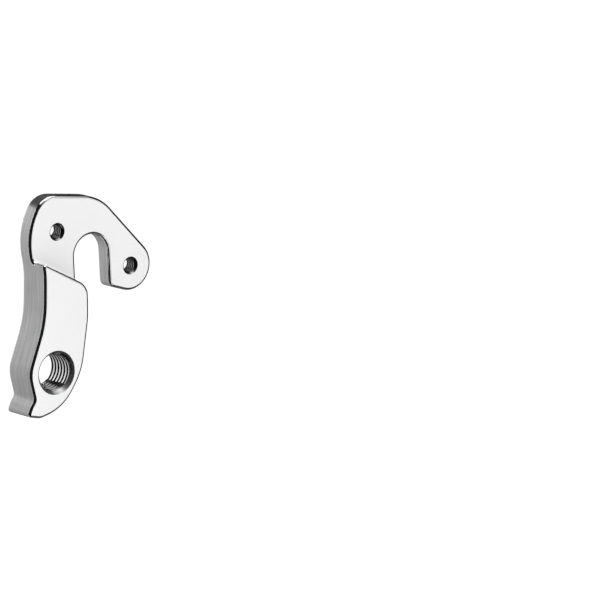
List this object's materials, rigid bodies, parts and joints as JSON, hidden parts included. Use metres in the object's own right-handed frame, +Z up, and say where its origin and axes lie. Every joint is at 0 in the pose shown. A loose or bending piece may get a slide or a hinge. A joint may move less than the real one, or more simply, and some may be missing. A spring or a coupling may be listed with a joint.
{
  "type": "derailleur hanger",
  "caption": "Flat metal hanger with a U-shaped axle slot, two small tapped bolt holes and a thick curved arm ending in a large tapped hole and a stop tab.",
  "frame": {"origin": "centre of the axle slot's round end, on the face that seats against the bicycle's frame end", "axes": "+X forward on the bicycle, +Y inboard towards the wheel, +Z up along the axle slot"},
  "size_m": [0.0423, 0.0095, 0.0532],
  "materials": {
    "hanger": "fine machined, satin"
  },
  "bodies": {
    "root": {"hanger": "hanger"}
  },
  "joints": []
}
